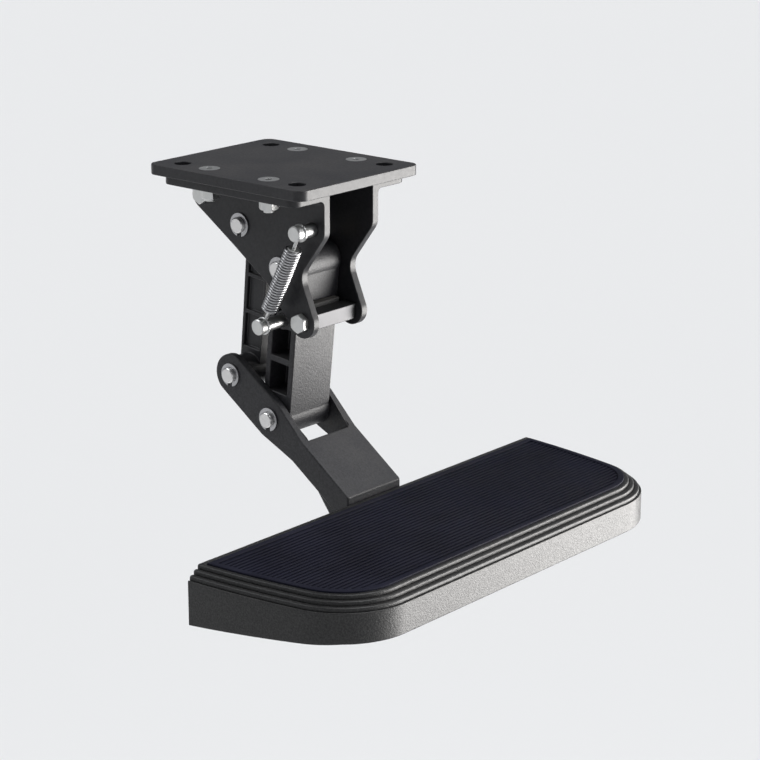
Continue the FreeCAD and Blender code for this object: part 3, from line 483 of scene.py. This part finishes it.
def soften(node, name, width):
    """A piece that starts as a merged copy of its fixed part and has its sharp edges rounded."""
    bpy.ops.object.select_all(action="DESELECT")
    piece = frame["nodes"][node].copy()
    piece.data = piece.data.copy()
    body = piece["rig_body"]
    for key in list(piece.keys()):
        del piece[key]
    piece.parent = None
    piece.name = piece.data.name = name
    bpy.context.scene.collection.objects.link(piece)
    bpy.context.view_layer.objects.active = piece
    piece.select_set(True)
    bpy.ops.object.mode_set(mode="EDIT")
    bpy.ops.mesh.select_all(action="SELECT")
    bpy.ops.mesh.remove_doubles(threshold=0.000005)
    bpy.ops.mesh.dissolve_limited(angle_limit=math.radians(0.5))
    bpy.ops.mesh.customdata_custom_splitnormals_clear()
    bpy.ops.object.mode_set(mode="OBJECT")
    bevel = piece.modifiers.new("Edges", "BEVEL")
    bevel.width = width
    bevel.segments = 3
    bevel.limit_method = "ANGLE"
    bevel.angle_limit = math.radians(38)
    bevel.use_clamp_overlap = False
    bpy.ops.object.modifier_apply(modifier=bevel.name)
    finish_piece(piece, body, slot_of[node], node)
    return piece


cast_black = coated_metal("black_cast_paint", (0.010, 0.010, 0.012), (0.024, 0.024, 0.027), (0.30, 0.28, 0.26),
                          roughness=0.47, grain=650.0, bump=0.70, wear=0.45, dust=0.08, shine=0.34)
steel_black = coated_metal("black_steel_paint", (0.011, 0.011, 0.013), (0.019, 0.019, 0.021), (0.34, 0.33, 0.32),
                           roughness=0.40, grain=420.0, bump=0.18, wear=0.40, dust=0.08, shine=0.32)
for node, name, width, material in (
        ("carrier_arm", "cast_carrier_arm", 0.0012, cast_black),
        ("main_arm", "cast_main_arm", 0.0010, cast_black),
        ("idler_arm", "forged_idler_arm", 0.0010, steel_black),
        ("mount_plate", "frame_mount_plate", 0.0007, steel_black),
        ("left_cheek", "bracket_left_cheek", 0.0007, steel_black),
        ("right_cheek", "bracket_right_cheek", 0.0007, steel_black)):
    paint(soften(node, name, width), material)


# ---- Hardware ------------------------------------------------------------------
# Bought-in parts: zinc-plated screws, nuts and spring posts, black-zinc stop bars, ground stainless
# pins, spring-steel clips and eyes, bronze bushes, brass grease nipples and bonded rubber stop pads.


def plain_metal(name, dark, light, roughness, grain, bump):
    """Bare or plated metal: slight colour drift, fine machining grain and uneven gloss."""
    material, tree, shader = blank_material(name)
    shader.inputs["Metallic"].default_value = 1.0
    pattern = add_group(tree, grain_group, (-900, 200), {"Scale": grain, "Coarse Scale": 240.0})
    film = add_group(tree, dust_group, (-900, -200), {"Amount": 0.10, "Scale": 40.0})
    tone = add_node(tree, "ShaderNodeMix", (-400, 200), data_type="RGBA")
    tone.inputs["A"].default_value = (*dark, 1)
    tone.inputs["B"].default_value = (*light, 1)
    dusty = add_node(tree, "ShaderNodeMix", (-100, 150), data_type="RGBA")
    dusty.inputs["B"].default_value = (0.20, 0.185, 0.165, 1)
    rough = add_node(tree, "ShaderNodeMapRange", (-100, -150),
                     {"From Min": 0.3, "From Max": 0.7, "To Min": roughness - 0.03, "To Max": roughness + 0.04})
    marks = add_node(tree, "ShaderNodeBump", (0, -300), {"Strength": bump, "Distance": 0.0002})
    link = tree.links.new
    link(pattern.outputs["Coarse"], tone.inputs["Factor"])
    link(tone.outputs["Result"], dusty.inputs["A"])
    link(film.outputs["Mask"], dusty.inputs["Factor"])
    link(dusty.outputs["Result"], shader.inputs["Base Color"])
    link(pattern.outputs["Coarse"], rough.inputs["Value"])
    link(rough.outputs["Result"], shader.inputs["Roughness"])
    link(pattern.outputs["Fine"], marks.inputs["Height"])
    link(marks.outputs["Normal"], shader.inputs["Normal"])
    return material


zinc = plain_metal("zinc_plate", (0.46, 0.47, 0.48), (0.62, 0.62, 0.60), 0.40, 900.0, 0.10)
stainless = plain_metal("ground_stainless", (0.56, 0.56, 0.56), (0.66, 0.65, 0.64), 0.30, 1600.0, 0.06)
spring_wire = plain_metal("spring_wire", (0.30, 0.30, 0.31), (0.46, 0.46, 0.47), 0.32, 1500.0, 0.10)
bronze = plain_metal("bush_bronze", (0.42, 0.27, 0.13), (0.58, 0.40, 0.20), 0.36, 1100.0, 0.10)
brass = plain_metal("nipple_brass", (0.60, 0.45, 0.18), (0.78, 0.62, 0.30), 0.30, 1100.0, 0.08)
black_zinc = plain_metal("black_zinc_plate", (0.050, 0.050, 0.053), (0.080, 0.080, 0.082), 0.46, 900.0, 0.10)
pad_rubber = coated_metal("stop_pad_rubber", (0.012, 0.012, 0.012), (0.022, 0.022, 0.022), (0.05, 0.05, 0.05),
                          roughness=0.68, grain=1200.0, bump=0.3, wear=0.3, dust=0.25, shine=0.3)
for node, name, width, material in (
        ("plate_screws", "flat_head_plate_screws", 0.0002, zinc),
        ("plate_nuts", "plate_flange_nuts", 0.0002, zinc),
        ("carrier_nuts", "carrier_flange_nuts", 0.0002, zinc),
        ("stop_bar_screws", "hexagon_stop_screws", 0.0003, zinc),
        ("deployed_stop_bar", "lower_stop_bar", 0.0006, black_zinc),
        ("stowed_stop_bar", "upper_stop_bar", 0.0006, black_zinc),
        ("deployed_stop_pad", "lower_stop_cushion", 0.0008, pad_rubber),
        ("stowed_stop_pad", "upper_stop_cushion", 0.0008, pad_rubber),
        ("main_upper_pin", "main_top_pivot_pin", 0.0002, stainless),
        ("main_lower_pin", "main_bottom_pivot_pin", 0.0002, stainless),
        ("idler_upper_pin", "idler_top_pivot_pin", 0.0002, stainless),
        ("idler_lower_pin", "idler_bottom_pivot_pin", 0.0002, stainless)):
    paint(soften(node, name, width), material)

# What is left keeps its own mesh and takes the finish of its material slot.
finishes = {"zinc_steel": zinc, "spring_steel": spring_wire, "bush_bronze": bronze, "brass_fitting": brass}
for entry in frame["record"]["subparts"]:
    part = frame["nodes"][entry["node"]]
    if entry["material_slot"] in finishes and not part.hide_render:
        paint(part, finishes[entry["material_slot"]])


# ---- Over-centre spring --------------------------------------------------------
# Close-wound extension spring of drawn spring wire, ends ground flat on the plugs of its two eye rods.
# It pulls between the post on the bracket and the post on the main arm.


def post_centre(node):
    low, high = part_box(node)
    return Vector((0, (low.y + high.y) / 2, (low.z + high.z) / 2))


coil_low, coil_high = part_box("spring_coil")
coil_radius, wire_radius = 0.0055, 0.001
coil_turns, coil_pitch = 24, 0.0023
top_post, bottom_post = post_centre("bracket_spring_post"), post_centre("arm_spring_post")
bpy.ops.object.select_all(action="DESELECT")
bpy.ops.mesh.primitive_circle_add(vertices=12, radius=wire_radius, location=(coil_radius, 0, 0),
                                  rotation=(math.radians(90), 0, 0))
coil = bpy.context.object
coil.name = coil.data.name = "extension_spring_coil"
bpy.ops.object.transform_apply(location=True, rotation=True, scale=True)
winding = coil.modifiers.new("Winding", "SCREW")
winding.angle = math.radians(360)
winding.iterations = coil_turns
winding.steps = winding.render_steps = 32
winding.screw_offset = coil_pitch
winding.use_merge_vertices = False
bpy.ops.object.modifier_apply(modifier=winding.name)
bpy.ops.object.mode_set(mode="EDIT")
bpy.ops.mesh.select_mode(type="EDGE")
bpy.ops.mesh.select_all(action="SELECT")
bpy.ops.mesh.region_to_loop()
bpy.ops.mesh.fill_holes(sides=12)
bpy.ops.mesh.select_all(action="SELECT")
bpy.ops.mesh.normals_make_consistent(inside=False)
bpy.ops.transform.translate(value=(0, 0, -coil_turns * coil_pitch / 2))
bpy.ops.object.mode_set(mode="OBJECT")
coil.rotation_euler = (top_post - bottom_post).to_track_quat("Z", "Y").to_euler()
coil.location = ((coil_low.x + coil_high.x) / 2, *((top_post + bottom_post) / 2).yz)
bpy.ops.object.transform_apply(location=True, rotation=True, scale=True)
finish_piece(coil, "spring", "spring_steel", "spring_coil")
paint(coil, spring_wire)


# ---- Floor, light and camera ---------------------------------------------------
# A plain pale studio: a wide floor well below, a high soft light, a large low softbox that the long
# front face reflects, a weak one behind, and a surround that is pale only near the horizon.

bpy.ops.object.select_all(action="DESELECT")
floor_drop, floor_size = 1.6, 60
bpy.ops.mesh.primitive_plane_add(size=floor_size, location=(0, 0, deck_low.z - floor_drop))
floor = bpy.context.object
floor.name = "studio_floor"
floor_paint, _, floor_shader = blank_material("pale_floor")
floor_shader.inputs["Base Color"].default_value = (0.82, 0.82, 0.82, 1)
floor_shader.inputs["Roughness"].default_value = 1.0
floor_shader.inputs["Specular IOR Level"].default_value = 0.0
paint(floor, floor_paint)


def aim_at(thing, target):
    thing.rotation_euler = (Vector(target) - thing.location).to_track_quat("-Z", "Y").to_euler()


bpy.ops.object.light_add(type="SUN", location=(0.5, -0.7, 2.0))
high_light = bpy.context.object
high_light.name = "high_soft_light"
high_light.data.energy = 2.9
high_light.data.angle = math.radians(55)
high_light.data.color = (0.98, 0.99, 1.0)
aim_at(high_light, (0, 0, 0))


def softbox(name, place, width, height, power, colour):
    """A softbox turned to the middle of the deck; it lights the piece but isn't itself in view."""
    bpy.ops.object.light_add(type="AREA", location=place)
    lamp = bpy.context.object
    lamp.name = name
    lamp.data.shape = "RECTANGLE"
    lamp.data.size, lamp.data.size_y = width, height
    lamp.data.energy = power
    lamp.data.color = colour
    lamp.data.spread = math.radians(110)
    lamp.visible_camera = False
    aim_at(lamp, (deck_low + deck_high) / 2)


softbox("low_front_softbox", (1.22, -1.14, -0.50), 1.6, 1.15, 37.0, (1.0, 0.98, 0.955))
softbox("back_softbox", (-1.0, 1.1, 1.5), 1.4, 0.9, 7.0, (0.96, 0.98, 1.0))

pale_horizon, dim_above = (0.80, 0.81, 0.83, 1), (0.16, 0.163, 0.172, 1)
world = bpy.data.worlds.new("pale_surround")
bpy.context.scene.world = world
world.use_nodes = True
surround = world.node_tree.nodes["Background"]
surround.inputs["Strength"].default_value = 1.0
direction = add_node(world.node_tree, "ShaderNodeTexCoord", (-900, 0))
split = add_node(world.node_tree, "ShaderNodeSeparateXYZ", (-700, 0))
fade = add_node(world.node_tree, "ShaderNodeMapRange", (-500, 0), {"From Min": 0.07, "From Max": 0.13})
shade = add_node(world.node_tree, "ShaderNodeMix", (-300, 0), data_type="RGBA")
shade.inputs["A"].default_value = pale_horizon
shade.inputs["B"].default_value = dim_above
world.node_tree.links.new(direction.outputs["Generated"], split.inputs["Vector"])
world.node_tree.links.new(split.outputs["Z"], fade.inputs["Value"])
world.node_tree.links.new(fade.outputs["Result"], shade.inputs["Factor"])
world.node_tree.links.new(shade.outputs["Result"], surround.inputs["Color"])

bpy.context.scene.view_settings.view_transform = "Standard"

bpy.ops.object.camera_add(location=(-1.268, -1.187, 0.353))
camera = bpy.context.object
aim_at(camera, (0.0, -0.095, -0.150))
camera.data.lens = 112
bpy.context.scene.camera = camera
